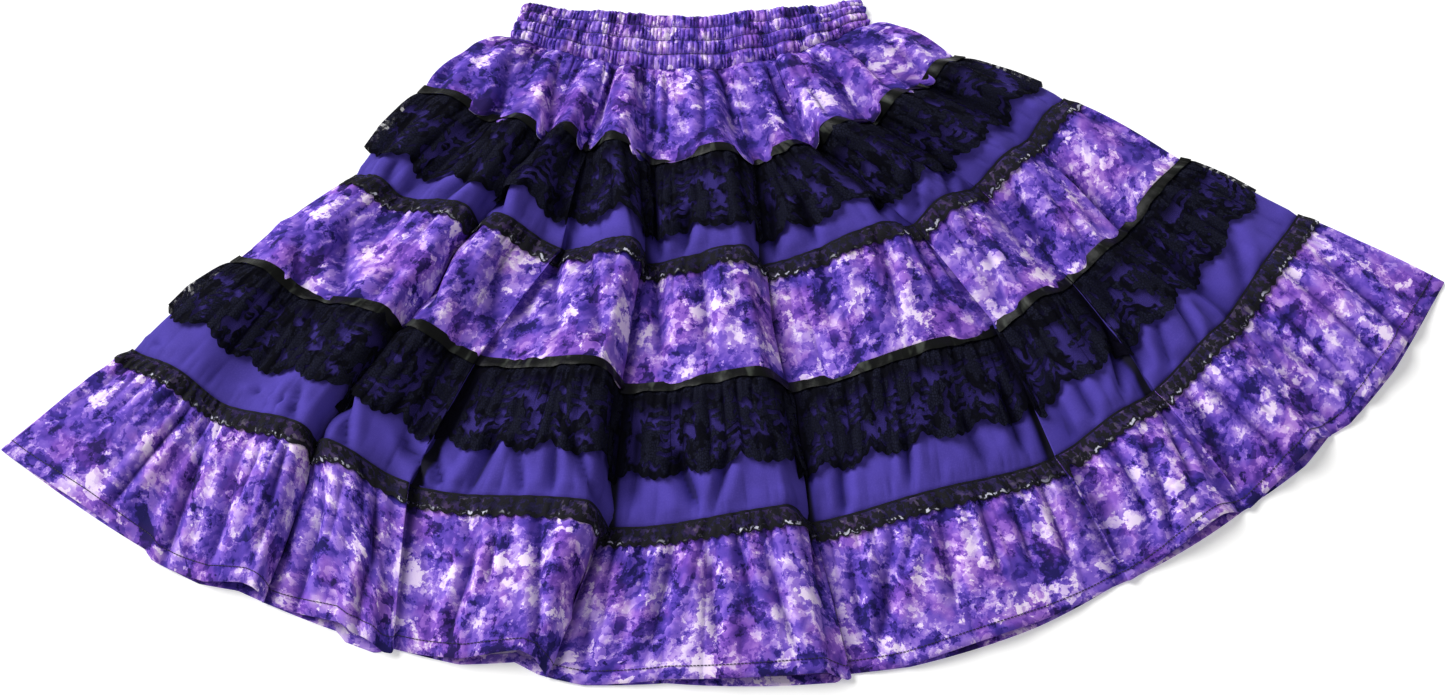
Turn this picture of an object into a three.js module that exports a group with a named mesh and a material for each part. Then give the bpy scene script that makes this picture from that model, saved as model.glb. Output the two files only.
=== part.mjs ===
// Tiered square dance skirt, laid flat with its front on its back.
// Millimetres, +X across the skirt, +Y towards the waist, +Z up off the table.
import * as THREE from 'three';

// Wall thicknesses and the clearance left where two pieces are sewn together.
const CLOTH = 1.2;
const TRIMMING = 1.0;
const BAND = 2.0;
const SEAM_GAP = 0.3;
const EDGE_SETBACK = 0.25;

// Heights of the layers above the table.
const STRIP_LEVEL = 0;
const OVER_STRIP = STRIP_LEVEL + TRIMMING + SEAM_GAP;
const FRONT_LEVEL = OVER_STRIP + CLOTH + SEAM_GAP;
const HEM_FRONT_LEVEL = 2.1;

// Widths of the trimmings, measured down from the seam each one covers.
const RIBBON_WIDTH = 9.5;
const LACE_WIDTH = 76;
const NARROW_LACE_WIDTH = 19;
const NARROW_LACE_SCALLOP = 0.02;
const STRIP_START = 0.4;

// Gathers: how high a tier's gathered edge stands, the round of one gather, how much smaller
// the smallest is, how far down they reach and sink, and how the tier puffs below them.
const GATHER_HEIGHT = 1.7;
const GATHER_ROUND = [0, 0.65, 1, 0.45];
const SMALLEST_GATHER = 0.45;
const GATHER_FADE = 0.2;
const GATHER_SINK = 0.35;
const TIER_PUFF = 3.5;

// Folds: how far a ridge draws the cloth towards the waist and leans to its steep side.
const FOLD_PULL = 0.5;
const FOLD_LEAN = 0.2;
const WAIST_FOLD_SHARE = 0.3;
const RISE_STEPS = 4;
const FALL_STEPS = 4;

// Elastic waistband: rows of shirring, how far each row swells, the pucker depth.
const SHIRRED_ROWS = 4;
const ROW_SWELL = 1.5;
const PUCKER = 1.1;
const SMALLEST_PUCKER = 0.4;
const STITCHED_PUCKER = 0.35;
const BAND_DOME = 4;

// Lace ruffles: how far they stand off the tier and how their edge waves and scallops.
const RUFFLE_STAND = 2.0;
const STAND_BY_ROW = [0, 0.6, 1];
const RUFFLE_WAVE = 1.2;
const WAVE_BY_ROW = [0, 0.5, 1];
const WAVE_TURNS = 2.1;
const RUFFLE_MIDDLE = 0.45;
const SCALLOP_WIDTH = 6;
const SCALLOP_DEPTH = 0.07;

// Seams from the waist to the hem. Each is a sagging curve between its two side points,
// as round on its left and right as the two powers say.
const SEAMS = [
  { name: 'waist', left: [-193, 356], right: [133, 361], drop: 15, lowest: 0.5, round: [1.6, 1.7] },
  { name: 'band seam', left: [-205, 321], right: [142, 334], drop: 44, lowest: 0.5, round: [1.7, 1.9] },
  { name: 'tier 1 to 2', left: [-284, 267], right: [223, 293], drop: 97, lowest: 0.56, round: [1.7, 2.0] },
  { name: 'tier 2 to 3', left: [-345, 170], right: [328, 251], drop: 138, lowest: 0.57, round: [1.8, 2.4] },
  { name: 'tier 3 to 4', left: [-443, 88], right: [431, 188], drop: 180, lowest: 0.55, round: [1.8, 2.6] },
  { name: 'tier 4 to 5', left: [-532, -5], right: [537, 129], drop: 236, lowest: 0.55, round: [1.9, 2.8] },
  { name: 'hem', left: [-633, -93], right: [659, 65], drop: 292, lowest: 0.55, round: [2.0, 2.7] },
];
const [WAIST, BAND_SEAM, SEAM_1, SEAM_2, SEAM_3, SEAM_4, HEM] = SEAMS.keys();

// Folds of the front, left to right, with one value for each seam from the band seam to the hem:
// from = where the fold's left valley crosses the seam, as a share of the seam's length,
// height = how high the ridge stands, crest = where the ridge peaks between its valleys.
const FOLDS = [
  { from: [0, 0, 0, 0, 0, 0], height: [3, 8, 10, 11, 11, 7],
    crest: [0.5, 0.5, 0.5, 0.5, 0.5, 0.5] },
  { from: [0.10, 0.13, 0.065, 0.07, 0.08, 0.123], height: [4, 12, 19, 22, 24, 15],
    crest: [0.5, 0.6, 0.77, 0.8, 0.83, 0.85] },
  { from: [0.20, 0.235, 0.17, 0.172, 0.156, 0.188], height: [4, 20, 21, 20, 18, 14],
    crest: [0.5, 0.5, 0.3, 0.27, 0.24, 0.7] },
  { from: [0.29, 0.302, 0.282, 0.252, 0.236, 0.271], height: [4, 22, 26, 26, 29, 18],
    crest: [0.5, 0.5, 0.8, 0.83, 0.88, 0.87] },
  { from: [0.39, 0.41, 0.382, 0.382, 0.381, 0.36], height: [5, 20, 23, 22, 25, 14],
    crest: [0.5, 0.73, 0.84, 0.84, 0.88, 0.9] },
  { from: [0.585, 0.588, 0.524, 0.534, 0.525, 0.535], height: [5, 10, 18, 14, 14, 9],
    crest: [0.5, 0.6, 0.75, 0.6, 0.5, 0.5] },
  { from: [0.715, 0.693, 0.732, 0.749, 0.722, 0.71], height: [5, 27, 20, 18, 18, 16],
    crest: [0.5, 0.37, 0.4, 0.4, 0.5, 0.75] },
  { from: [0.80, 0.80, 0.827, 0.829, 0.811, 0.798], height: [5, 25, 16, 16, 18, 18],
    crest: [0.5, 0.43, 0.5, 0.5, 0.6, 0.75] },
  { from: [0.90, 0.908, 0.923, 0.899, 0.893, 0.871], height: [4, 14, 10, 12, 12, 12],
    crest: [0.5, 0.5, 0.5, 0.5, 0.5, 0.5] },
];
const FOLD_STEPS = RISE_STEPS + FALL_STEPS;
const COLUMNS = FOLDS.length * FOLD_STEPS;
const BACK_COLUMNS = 20;

const MATERIALS = {
  printed_cotton: { color: 0x6a58b4, roughness: 0.9, metalness: 0 },
  purple_cotton: { color: 0x4b3c9c, roughness: 0.9, metalness: 0 },
  black_lace: { color: 0x17141c, roughness: 0.95, metalness: 0 },
  black_satin: { color: 0x0d0c10, roughness: 0.35, metalness: 0 },
};

const mix = (a, b, share) => a + (b - a) * share;
const clamp = (value, low, high) => Math.min(high, Math.max(low, value));
const range = (count) => [...Array(count).keys()];

// A repeatable unevenness between 0 and 1 for one gather of one row.
function uneven(index, row) {
  const wave = Math.sin(index * 12.9898 + row * 78.233 + 4.1) * 43758.5453;
  return wave - Math.floor(wave);
}

// Seam curves, with the length up to each of their points.
const CURVE_STEPS = 240;
function seamCurve({ left, right, drop, lowest, round }) {
  const points = range(CURVE_STEPS + 1).map((i) => {
    const t = i / CURVE_STEPS;
    const side = t < lowest ? (lowest - t) / lowest : (t - lowest) / (1 - lowest);
    const sag = drop * (1 - side ** (t < lowest ? round[0] : round[1]));
    return new THREE.Vector2(mix(left[0], right[0], t), mix(left[1], right[1], t) - sag);
  });
  const lengths = [0];
  points.slice(1).forEach((p, i) => lengths.push(lengths[i] + p.distanceTo(points[i])));
  return { points, lengths, total: lengths.at(-1) };
}
const CURVES = SEAMS.map(seamCurve);

function alongSeam(seam, share) {
  const { points, lengths, total } = CURVES[seam];
  const wanted = clamp(share, 0, 1) * total;
  const next = Math.max(1, lengths.findIndex((length) => length >= wanted - 1e-9));
  const part = (wanted - lengths[next - 1]) / (lengths[next] - lengths[next - 1]);
  return points[next - 1].clone().lerp(points[next], part);
}

// Where a column of the front crosses a seam: share of the seam, height of the fold, its lean.
function foldAt(seam, column) {
  const row = Math.max(0, seam - 1);
  const number = Math.min(FOLDS.length - 1, Math.floor(column / FOLD_STEPS));
  const step = column - number * FOLD_STEPS;
  const fold = FOLDS[number];
  const end = number + 1 < FOLDS.length ? FOLDS[number + 1].from[row] : 1;
  const crest = fold.crest[row];
  const phase = step <= RISE_STEPS ? step / RISE_STEPS : 1 + (step - RISE_STEPS) / FALL_STEPS;
  const across = phase <= 1 ? crest * phase : crest + (1 - crest) * (phase - 1);
  const scale = seam === WAIST ? WAIST_FOLD_SHARE : 1;
  const height = scale * fold.height[row] * Math.sin(phase * Math.PI / 2) ** 2;
  return { share: mix(fold.from[row], end, across), height, lean: clamp(crest * 2 - 1, -1, 1) };
}

// A point of the front on a seam: ridges are drawn up to the waist and over to their steep side.
function frontSeamPoint(seam, column) {
  const { share, height, lean } = foldAt(seam, column);
  const place = alongSeam(seam, share);
  const above = alongSeam(Math.max(seam - 1, 0), share);
  const below = alongSeam(Math.min(seam + 1, HEM), share);
  const up = above.sub(below).normalize();
  const pull = seam <= BAND_SEAM ? 0 : FOLD_PULL * height;
  const sway = seam <= BAND_SEAM ? 0 : FOLD_LEAN * height * lean;
  const level = seam === HEM ? HEM_FRONT_LEVEL : FRONT_LEVEL;
  return new THREE.Vector3(
    place.x + up.x * pull + up.y * sway,
    place.y + up.y * pull - up.x * sway,
    level + height,
  );
}
const FRONT = SEAMS.map((_, seam) => range(COLUMNS + 1).map((column) => frontSeamPoint(seam, column)));

function frontSeam(seam, column) {
  const low = Math.floor(column);
  const first = FRONT[seam][low];
  return column === low ? first.clone() : first.clone().lerp(FRONT[seam][low + 1], column - low);
}

// A point of a front panel's inner face; down runs from 0 at its upper seam to 1 at its lower one.
const PUFF_AT_SIDES = 0.3;
function panelPoint(seam, column, down, puff) {
  const point = frontSeam(seam, column).lerp(frontSeam(seam + 1, column), down);
  const inward = Math.sin(Math.PI * clamp(column / COLUMNS, 0, 1)) ** PUFF_AT_SIDES;
  point.z += puff * 4 * down * (1 - down) * inward;
  return point;
}

// The same point moved out of the panel, mostly upwards so that layers stay apart in deep valleys,
// by a distance that keeps the wall's thickness on the ridges' steep sides.
const PROBE_COLUMNS = 0.5;
const PROBE_DOWN = 0.08;
const STEEPEST = 0.7;
const UPRIGHT = 1.5;
const RUFFLE_UPRIGHT = 4;
function movedOut(seam, column, down, puff, distance, upright = UPRIGHT) {
  const at = (c, d) => panelPoint(seam, clamp(c, 0, COLUMNS), clamp(d, 0, 1), puff);
  const across = at(column + PROBE_COLUMNS, down).sub(at(column - PROBE_COLUMNS, down));
  const along = at(column, down - PROBE_DOWN).sub(at(column, down + PROBE_DOWN));
  const square = across.cross(along).normalize();
  const way = square.clone().add(new THREE.Vector3(0, 0, upright)).normalize();
  return at(column, down).addScaledVector(way, distance / Math.max(STEEPEST, way.dot(square)));
}

// Walls: a closed solid between an outer and an inner face, each given as rows of points.
// The inner rows run the other way, so their squares are split the other way to match.
const TIE = 1e-9;
function stitch(triangles, upper, lower, slack = TIE) {
  let a = 0;
  let b = 0;
  while (a < upper.length - 1 || b < lower.length - 1) {
    const nextA = (a + 1) / (upper.length - 1);
    const nextB = (b + 1) / (lower.length - 1);
    if (b === lower.length - 1 || (a < upper.length - 1 && nextA <= nextB + slack)) {
      triangles.push(upper[a], lower[b], upper[a + 1]);
      a += 1;
    } else {
      triangles.push(upper[a], lower[b], lower[b + 1]);
      b += 1;
    }
  }
}

function wall(name, material, outer, inner) {
  const positions = [];
  const add = (point) => positions.push(...point.toArray()) / 3 - 1;
  const number = (rows) => rows.map((row) => row.map(add));
  const outside = number(outer);
  const inside = number(inner);
  const triangles = [];
  const loop = [...outside, ...inside.slice().reverse(), outside[0]];
  loop.slice(1).forEach((row, i) => stitch(triangles, loop[i], row, i < outside.length ? TIE : -TIE));
  stitch(triangles, outside.map((row) => row[0]), inside.map((row) => row[0]));
  stitch(triangles, inside.map((row) => row.at(-1)), outside.map((row) => row.at(-1)));
  const geometry = new THREE.BufferGeometry();
  geometry.setAttribute('position', new THREE.Float32BufferAttribute(positions, 3));
  geometry.setIndex(triangles);
  geometry.computeVertexNormals();
  const mesh = new THREE.Mesh(geometry, new THREE.MeshStandardMaterial(MATERIALS[material]));
  mesh.name = name;
  return mesh;
}

// Panel lengths at the middle, to turn widths in millimetres into shares of a panel.
function panelLength(seam) {
  return alongSeam(seam, 0.5).distanceTo(alongSeam(seam + 1, 0.5));
}
const share = (seam, width) => width / panelLength(seam);

const SPARSE = range(COLUMNS + 1);
const DENSE = range(2 * COLUMNS + 1).map((i) => i / 2);

// Height of the gathers along the upper edge of a tier.
function gather(seam, column, down) {
  const step = Math.round(column * 2);
  const round = GATHER_ROUND[step % GATHER_ROUND.length];
  const size = mix(SMALLEST_GATHER, 1, uneven(Math.floor(step / GATHER_ROUND.length), seam));
  const fade = down <= GATHER_FADE ? 1 - GATHER_SINK * down / GATHER_FADE : 0;
  return GATHER_HEIGHT * round * size * fade;
}

// Front of a tier: plain inside, gathers raised on the outside below the upper seam.
function tierFront(name, material, seam, rows) {
  const edge = share(seam, EDGE_SETBACK);
  const downs = rows.map((down) => clamp(down, edge, 1 - edge));
  const outer = downs.map((down, i) => (i < 2 ? DENSE : SPARSE).map((column) => {
    const point = movedOut(seam, column, down, TIER_PUFF, CLOTH);
    point.z += i < 2 ? gather(seam, column, down) : 0;
    return point;
  }));
  const inner = downs.map((down) => SPARSE.map((column) => panelPoint(seam, column, down, TIER_PUFF)));
  return wall(name, material, outer, inner);
}

// Ribbon or narrow lace, over the gathered edge of the front of a tier.
function stripFront(name, material, seam, from, to, scallop) {
  const lift = CLOTH + SEAM_GAP + GATHER_HEIGHT;
  const rows = [share(seam, from), share(seam, to)];
  const face = (distance) => rows.map((down, i) => (scallop && i ? DENSE : SPARSE).map((column) => {
    const wave = scallop && i ? scallop * Math.abs(Math.sin(column * Math.PI / 2)) : 0;
    return movedOut(seam, column, down + wave, TIER_PUFF, lift + distance);
  }));
  return wall(name, material, face(TRIMMING), face(0));
}

// How far a lace ruffle reaches out past the side folds of the tier it lies on.
const RUFFLE_REACH = { [SEAM_1]: [12, 5], [SEAM_3]: [16, 6] };
const REACH_BY_ROW = [0, 1, 0.7];
const REACH_COLUMNS = 4;
const REACH_ROUND = 1.5;
function reachOut(seam, column, amount) {
  const [left, right] = RUFFLE_REACH[seam];
  const atLeft = clamp(1 - column / REACH_COLUMNS, 0, 1) ** REACH_ROUND * left;
  const atRight = clamp(1 - (COLUMNS - column) / REACH_COLUMNS, 0, 1) ** REACH_ROUND * right;
  const [size, fold] = atLeft > 0 ? [atLeft, 0] : [atRight, 1];
  const side = alongSeam(seam, fold).sub(alongSeam(seam + 1, fold)).normalize();
  const way = fold ? -1 : 1;
  const swell = size * amount * way;
  return new THREE.Vector3(-side.y * swell, side.x * swell, 0);
}

// Lace ruffle on the front: stands further off the tier towards its scalloped edge.
function ruffleFront(name, seam) {
  const top = share(seam, RIBBON_WIDTH + SEAM_GAP);
  const end = share(seam, RIBBON_WIDTH + LACE_WIDTH);
  const rows = [top, RUFFLE_MIDDLE, end];
  const face = (distance) => rows.map((down, i) => (i === 2 ? DENSE : SPARSE).map((column) => {
    const step = Math.round(column * 2);
    const scallop = i === 2 ? SCALLOP_DEPTH * (Math.abs(Math.sin(step * Math.PI / SCALLOP_WIDTH)) - 0.5) : 0;
    const wave = WAVE_BY_ROW[i] * RUFFLE_WAVE * (0.5 + 0.5 * Math.sin(column * WAVE_TURNS + seam));
    const stand = STAND_BY_ROW[i] * RUFFLE_STAND;
    const lift = CLOTH + SEAM_GAP + GATHER_HEIGHT + stand + wave + distance;
    const reach = reachOut(seam, column, REACH_BY_ROW[i]);
    return movedOut(seam, column, down + scallop, TIER_PUFF, lift, RUFFLE_UPRIGHT).add(reach);
  }));
  return wall(name, 'black_lace', face(TRIMMING), face(0));
}

// Shirred elastic waistband: swollen rows between stitch lines, puckered on the outside only.
function bandFront(name) {
  const lines = 2 * SHIRRED_ROWS;
  const edge = share(WAIST, EDGE_SETBACK);
  const downs = range(lines + 1).map((i) => clamp(i / lines, 0, 1 - edge));
  const outer = downs.map((down, i) => SPARSE.map((column) => {
    const point = panelPoint(WAIST, column, down, BAND_DOME);
    const puckered = column % 2 ? PUCKER * mix(SMALLEST_PUCKER, 1, uneven(column, i)) : 0;
    point.z += BAND + (i % 2 ? ROW_SWELL + puckered : STITCHED_PUCKER * puckered);
    return point;
  }));
  const inner = [0, 0.5, 1 - edge].map((down) => SPARSE.map((column) => {
    return panelPoint(WAIST, column, down, BAND_DOME);
  }));
  return wall(name, 'printed_cotton', outer, inner);
}

// Flat back pieces: rows of [share down the panel, height of the underside, reach past the sides].
function backWall(name, material, seam, rows, thickness) {
  const columns = range(BACK_COLUMNS + 1).map((i) => i / BACK_COLUMNS);
  const face = (extra) => rows.map(([down, level, reach]) => columns.map((across) => {
    const place = alongSeam(seam, across).lerp(alongSeam(seam + 1, across), down);
    const point = new THREE.Vector3(place.x, place.y, level + extra);
    return reach ? point.add(reachOut(seam, across * COLUMNS, reach)) : point;
  }));
  return wall(name, material, face(thickness), face(0));
}

function tierBack(name, material, seam, levels) {
  const edge = share(seam, EDGE_SETBACK);
  const rows = levels.map(([down, level]) => [clamp(down, edge, 1 - edge), level]);
  return backWall(name, material, seam, rows, CLOTH);
}

function stripBack(name, material, seam, from, to) {
  const rows = [from, to].map((width) => [share(seam, width), STRIP_LEVEL, 0]);
  return backWall(name, material, seam, rows, TRIMMING);
}

function ruffleBack(name, seam) {
  const rows = [RIBBON_WIDTH + SEAM_GAP, 0.5 * LACE_WIDTH, RIBBON_WIDTH + LACE_WIDTH]
    .map((width, i) => [share(seam, width), STRIP_LEVEL, REACH_BY_ROW[i]]);
  return backWall(name, 'black_lace', seam, rows, TRIMMING);
}

// Underside of each back tier: on the table, or raised over the trimming below it.
const UNDER_TIER = {
  tier1: [[0, 0], [0.84, 0], [0.97, OVER_STRIP], [1, OVER_STRIP]],
  tier2: [[0, OVER_STRIP], [0.5, OVER_STRIP], [1, OVER_STRIP]],
  tier3: [[0, OVER_STRIP], [0.2, OVER_STRIP], [0.32, 0], [0.88, 0], [0.97, OVER_STRIP], [1, OVER_STRIP]],
  tier4: [[0, OVER_STRIP], [0.5, OVER_STRIP], [1, OVER_STRIP]],
  tier5: [[0, OVER_STRIP], [0.17, OVER_STRIP], [0.28, 0], [1, 0]],
};

const pieces = [];
pieces.push(bandFront('waistband_front'));
pieces.push(tierBack('waistband_back', 'printed_cotton', WAIST, [[0, 0], [1, 0]]));

const TIERS = [
  ['tier1', 'printed_cotton', BAND_SEAM, [0, 0.2, 0.55, 1]],
  ['tier2', 'purple_cotton', SEAM_1, [0, 0.2, 0.45, 0.8, 1]],
  ['tier3', 'printed_cotton', SEAM_2, [0, 0.2, 0.55, 1]],
  ['tier4', 'purple_cotton', SEAM_3, [0, 0.2, 0.45, 0.8, 1]],
  ['tier5', 'printed_cotton', SEAM_4, [0, 0.2, 0.55, 1]],
];
for (const [tier, material, seam, rows] of TIERS) {
  pieces.push(tierFront(`${tier}_front`, material, seam, rows));
  pieces.push(tierBack(`${tier}_back`, material, seam, UNDER_TIER[tier]));
}

for (const [number, seam] of [[1, SEAM_1], [2, SEAM_3]]) {
  pieces.push(stripFront(`ribbon${number}_front`, 'black_satin', seam, STRIP_START, RIBBON_WIDTH, 0));
  pieces.push(stripBack(`ribbon${number}_back`, 'black_satin', seam, STRIP_START, RIBBON_WIDTH));
  pieces.push(ruffleFront(`lace_ruffle${number}_front`, seam));
  pieces.push(ruffleBack(`lace_ruffle${number}_back`, seam));
}

for (const [number, seam] of [[1, SEAM_2], [2, SEAM_4]]) {
  pieces.push(stripFront(`trim${number}_front`, 'black_lace', seam, STRIP_START, NARROW_LACE_WIDTH,
    NARROW_LACE_SCALLOP));
  pieces.push(stripBack(`trim${number}_back`, 'black_lace', seam, STRIP_START, NARROW_LACE_WIDTH));
}

const skirt = new THREE.Group();
skirt.name = 'square_dance_skirt';
pieces.forEach((piece) => skirt.add(piece));

// The origin sits under the middle of the whole outline, on the table.
const box = new THREE.Box3().setFromObject(skirt);
const middle = box.getCenter(new THREE.Vector3());
pieces.forEach((piece) => piece.geometry.translate(-middle.x, -middle.y, -box.min.z));

export default skirt;
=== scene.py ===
import math

import bpy
import numpy as np
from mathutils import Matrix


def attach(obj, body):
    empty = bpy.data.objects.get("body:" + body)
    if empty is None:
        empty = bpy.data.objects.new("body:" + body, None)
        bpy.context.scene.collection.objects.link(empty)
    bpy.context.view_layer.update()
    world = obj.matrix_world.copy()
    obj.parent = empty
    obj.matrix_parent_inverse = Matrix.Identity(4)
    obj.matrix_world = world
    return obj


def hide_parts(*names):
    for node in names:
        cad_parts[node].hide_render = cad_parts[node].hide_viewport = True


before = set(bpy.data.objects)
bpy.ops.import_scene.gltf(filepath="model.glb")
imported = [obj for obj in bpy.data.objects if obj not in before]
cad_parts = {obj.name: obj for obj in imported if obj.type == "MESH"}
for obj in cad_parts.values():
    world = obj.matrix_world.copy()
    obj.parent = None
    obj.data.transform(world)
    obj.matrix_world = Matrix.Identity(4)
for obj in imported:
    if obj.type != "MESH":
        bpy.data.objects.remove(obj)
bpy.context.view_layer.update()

# Camera, table and light
# The skirt lies face up on a pale table. The camera looks down on it, tipped a little towards the hem,
# and one large soft light from the upper left shapes the folds against an even white room.

CAMERA_TILT = math.radians(20)
CAMERA_ANGLE = math.radians(50)
CAMERA_DISTANCE = 1.404
CAMERA_AIM = np.array((-0.0130, -0.0284, 0.0))
TABLE_SIZE = 60
TABLE_DROP = 0.0002

camera = bpy.data.objects.new("camera", bpy.data.cameras.new("camera"))
camera.data.angle = CAMERA_ANGLE
towards_camera = np.array((0, -math.sin(CAMERA_TILT), math.cos(CAMERA_TILT)))
camera.location = CAMERA_AIM + CAMERA_DISTANCE * towards_camera
camera.rotation_euler = (CAMERA_TILT, 0, 0)
bpy.context.scene.collection.objects.link(camera)
bpy.context.scene.camera = camera
bpy.context.scene.view_settings.view_transform = "Standard"

bpy.ops.mesh.primitive_plane_add(size=TABLE_SIZE, location=(0, 0, -TABLE_DROP))
table = bpy.context.object
table.name = "table"
table_paint = bpy.data.materials.new("table paint")
table_paint.use_nodes = True
table_shader = table_paint.node_tree.nodes["Principled BSDF"]
table_shader.inputs["Base Color"].default_value = (0.93, 0.93, 0.92, 1)
table_shader.inputs["Roughness"].default_value = 0.85
table_shader.inputs["Emission Color"].default_value = (1, 1, 1, 1)
table_shader.inputs["Emission Strength"].default_value = 0.22
table.data.materials.append(table_paint)

world = bpy.data.worlds.new("room")
bpy.context.scene.world = world
world.use_nodes = True
world.node_tree.nodes["Background"].inputs["Color"].default_value = (1, 1, 1, 1)
world.node_tree.nodes["Background"].inputs["Strength"].default_value = 0.42

window = bpy.data.objects.new("window light", bpy.data.lights.new("window light", "SUN"))
window.data.angle = math.radians(38)
window.data.energy = 3.7
window.location = (-1.5, 0.95, 1.3)
window.rotation_euler = (-window.location).to_track_quat("-Z", "Y").to_euler()
bpy.context.scene.collection.objects.link(window)

# Waistband
# A strip of the printed cotton shirred over wide elastic. Three rows of stitching divide it into four
# swollen channels, and the cloth between them stands in fine upright puckers. The seams and folds that
# the whole skirt hangs from are laid down here, because the waistband is the first piece sewn.

SEAMS = (
    # From the waist to the hem, in metres: left x, left y, right x, right y, how far the line drops,
    # the share of it where it is lowest, and how round it is on the left and on the right.
    (-0.193, 0.356, 0.133, 0.361, 0.015, 0.50, 1.6, 1.7),
    (-0.205, 0.321, 0.142, 0.334, 0.044, 0.50, 1.7, 1.9),
    (-0.284, 0.267, 0.223, 0.298, 0.099, 0.56, 1.7, 2.0),
    (-0.345, 0.170, 0.328, 0.251, 0.138, 0.57, 1.8, 2.4),
    (-0.443, 0.088, 0.431, 0.188, 0.180, 0.55, 1.8, 2.6),
    (-0.532, -0.005, 0.537, 0.129, 0.236, 0.55, 1.9, 2.8),
    (-0.633, -0.093, 0.659, 0.065, 0.292, 0.55, 2.0, 2.7),
)
WAIST, BAND_SEAM, SEAM_1, SEAM_2, SEAM_3, SEAM_4, HEM = range(len(SEAMS))
OUTLINE_MIDDLE = np.array((0.0130, 0.0284))

FOLDS = (
    # Each has a value for the band seam, seams 1 to 4 and the hem: where its left valley crosses, its
    # ridge's height in millimetres, where between the valleys the ridge peaks, and how far one side
    # laps over the valley, in millimetres. Last, 1 if the left side laps over the right, or -1.
    ((0, 0, 0, 0, 0, 0), (3, 8, 10, 11, 11, 7),
     (0.5, 0.5, 0.5, 0.5, 0.5, 0.5), (0, 0, 0, 0, 0, 0), 1),
    ((0.10, 0.13, 0.065, 0.07, 0.08, 0.123), (4, 12, 19, 22, 24, 15),
     (0.5, 0.6, 0.77, 0.8, 0.83, 0.85), (0, 2, 0, 0, 0, 0), 1),
    ((0.20, 0.235, 0.17, 0.172, 0.156, 0.188), (4, 20, 21, 20, 18, 14),
     (0.5, 0.5, 0.3, 0.27, 0.24, 0.7), (0, 3, 5, 7, 9, 5), 1),
    ((0.29, 0.302, 0.282, 0.252, 0.236, 0.271), (4, 22, 26, 26, 29, 18),
     (0.5, 0.5, 0.8, 0.83, 0.88, 0.87), (0, 3, 5, 5, 7, 4), 1),
    ((0.39, 0.41, 0.382, 0.382, 0.381, 0.36), (5, 20, 23, 22, 25, 14),
     (0.5, 0.73, 0.84, 0.84, 0.88, 0.9), (0, 3, 6, 7, 9, 4), 1),
    ((0.585, 0.588, 0.524, 0.534, 0.525, 0.535), (5, 10, 18, 14, 14, 9),
     (0.5, 0.6, 0.75, 0.6, 0.5, 0.5), (0, 4, 6, 7, 8, 5), 1),
    ((0.715, 0.693, 0.732, 0.749, 0.722, 0.71), (5, 27, 20, 18, 18, 16),
     (0.5, 0.37, 0.4, 0.4, 0.5, 0.75), (0, 3, 4, 9, 10, 5), -1),
    ((0.80, 0.80, 0.827, 0.829, 0.811, 0.798), (5, 25, 16, 16, 18, 18),
     (0.5, 0.43, 0.5, 0.5, 0.6, 0.75), (0, 3, 4, 5, 6, 5), -1),
    ((0.90, 0.908, 0.923, 0.899, 0.893, 0.871), (4, 14, 10, 12, 12, 12),
     (0.5, 0.5, 0.5, 0.5, 0.5, 0.5), (0, 0, 2, 3, 4, 3), 1),
)
# How far each fold's ridge, and the hem's, is drawn up towards the waist, as a share of its height.
FOLD_PULL = np.array((0.5, 0.5, 0.5, 0.5, 0.5, 0.5, 0.2, 0.12, 0.3))
HEM_PULL = 0.5
FOLD_LEAN = 0.3
FRONT_LEVEL = 0.0028
HEM_FRONT_LEVEL = 0.0021
WAIST_FOLD_SHARE = 0.3
CURVE_STEPS = 400
PROBE_STEPS = 4000
RANDOM_COUNT = 4096
BACK_COARSENESS = 3


def seam_line(left_x, left_y, right_x, right_y, drop, lowest, left_round, right_round):
    t = np.linspace(0, 1, CURVE_STEPS + 1)
    side = np.where(t < lowest, (lowest - t) / lowest, (t - lowest) / (1 - lowest))
    sag = drop * (1 - side ** np.where(t < lowest, left_round, right_round))
    points = np.stack([left_x + (right_x - left_x) * t, left_y + (right_y - left_y) * t - sag], -1)
    points -= OUTLINE_MIDDLE
    length = np.concatenate([[0], np.cumsum(np.hypot(*np.diff(points, axis=0).T))])
    return points, length


SEAM_LINES = [seam_line(*seam) for seam in SEAMS]


def along_seam(seam, share):
    points, length = SEAM_LINES[seam]
    wanted = np.clip(share, 0, 1) * length[-1]
    return np.stack([np.interp(wanted, length, points[:, i]) for i in (0, 1)], -1)


def fold_at(seam, column):
    """Share of the seam, ridge height and lean where a column crosses it; one fold to each whole column."""
    row = max(0, seam - 1)
    number = np.minimum(len(FOLDS) - 1, column.astype(int))
    start = np.array([fold[0][row] for fold in FOLDS] + [1.0])
    height = np.array([fold[1][row] for fold in FOLDS])[number] / 1000
    if seam == WAIST:
        height = height * WAIST_FOLD_SHARE
    crest = np.array([fold[2][row] for fold in FOLDS])[number]
    phase = 2 * (column - number)
    across = np.where(phase <= 1, crest * phase, crest + (1 - crest) * (phase - 1))
    share = start[number] + across * (start[number + 1] - start[number])
    return share, height * np.sin(phase * np.pi / 2) ** 2, 2 * crest - 1


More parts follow.
